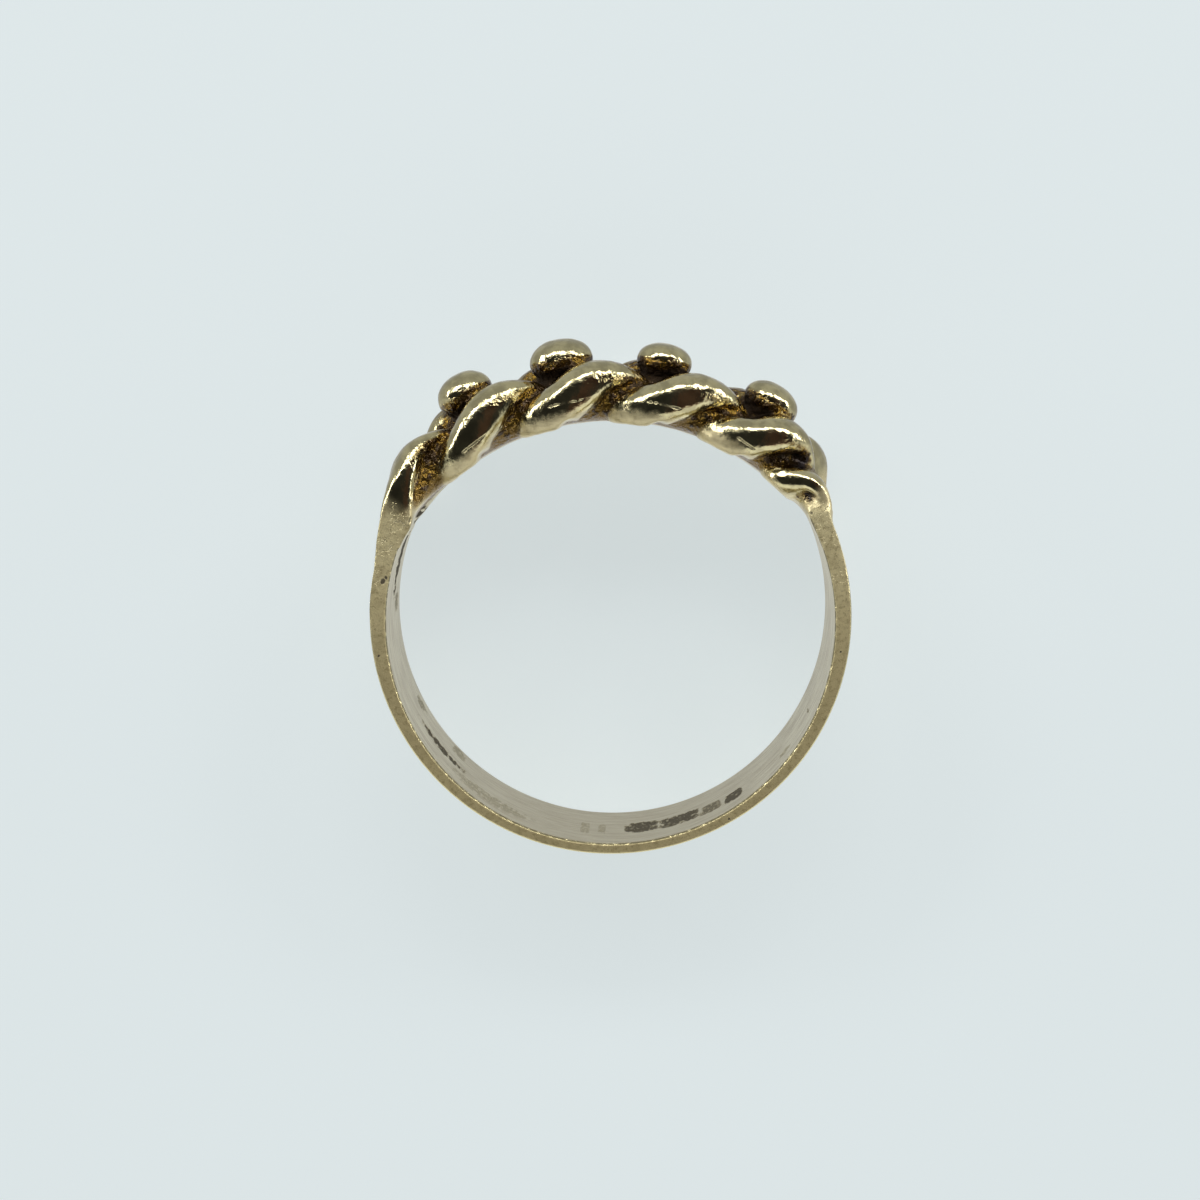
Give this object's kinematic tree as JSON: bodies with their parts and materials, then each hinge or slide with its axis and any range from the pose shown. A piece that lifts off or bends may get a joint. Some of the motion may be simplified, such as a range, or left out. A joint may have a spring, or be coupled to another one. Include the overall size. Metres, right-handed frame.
{
  "type": "keeper ring",
  "caption": "Flat-band finger ring in pale gold whose head is a heavy three-strand plait with round raised studs set along its middle.",
  "frame": {"origin": "on the axis of the finger hole, in the plane of the lower rim face, which the ring lies on", "axes": "+Z along the finger hole, up when the ring lies on its side; -Y from the hole towards the plaited head; +X completes the frame"},
  "size_m": [0.0196, 0.0209, 0.006],
  "materials": {
    "gold": "pale 9 ct gold: worn satin on the band, polished on the strands and studs, tarnished in the recesses"
  },
  "bodies": {
    "root": {"keeper_ring": "gold"}
  },
  "joints": []
}
